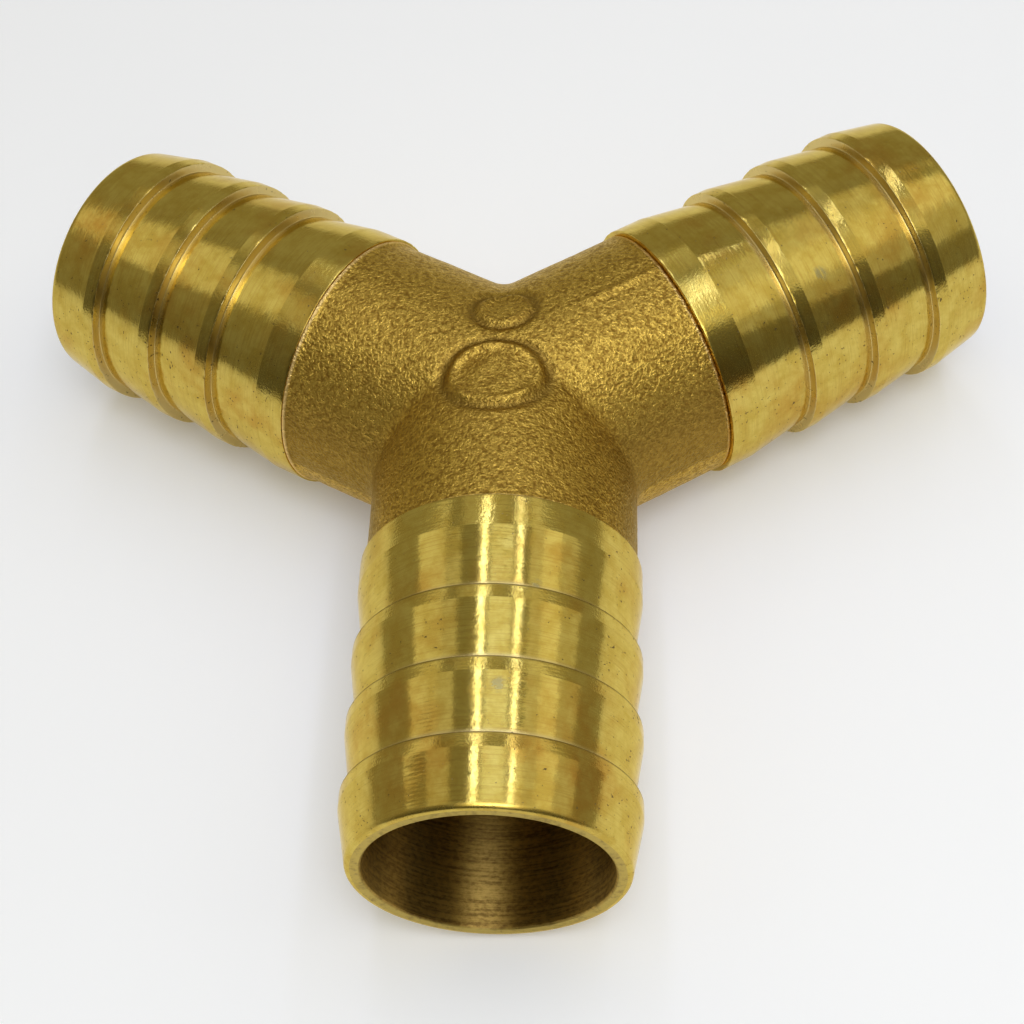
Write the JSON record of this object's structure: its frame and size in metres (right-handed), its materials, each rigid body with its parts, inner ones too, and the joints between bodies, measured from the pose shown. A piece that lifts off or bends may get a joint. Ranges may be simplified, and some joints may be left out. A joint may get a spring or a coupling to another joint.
{
  "type": "hose barb Y connector",
  "caption": "Brass Y connector that joins hoses of one size: a cast hub with equal, evenly spaced necks, each carrying a brazed, barbed, through-bored hose tail.",
  "frame": {"origin": "where the axes of the three legs meet, in the middle of the hub", "axes": "+Z normal to the plane of the legs, on the side with the raised ovals; the front leg points along -Y, the right leg 30 degrees from +X towards +Y, the left leg its mirror image"},
  "size_m": [0.098, 0.085, 0.027],
  "materials": {
    "cast_brass": "sand-cast skin, lightly bead-blasted, fine sparkling grain",
    "turned_brass": "bright turned, fine tool marks around the axis"
  },
  "bodies": {
    "root": {"cast_hub": "cast_brass", "front_hose_tail": "turned_brass", "left_hose_tail": "turned_brass", "right_hose_tail": "turned_brass"}
  },
  "joints": []
}
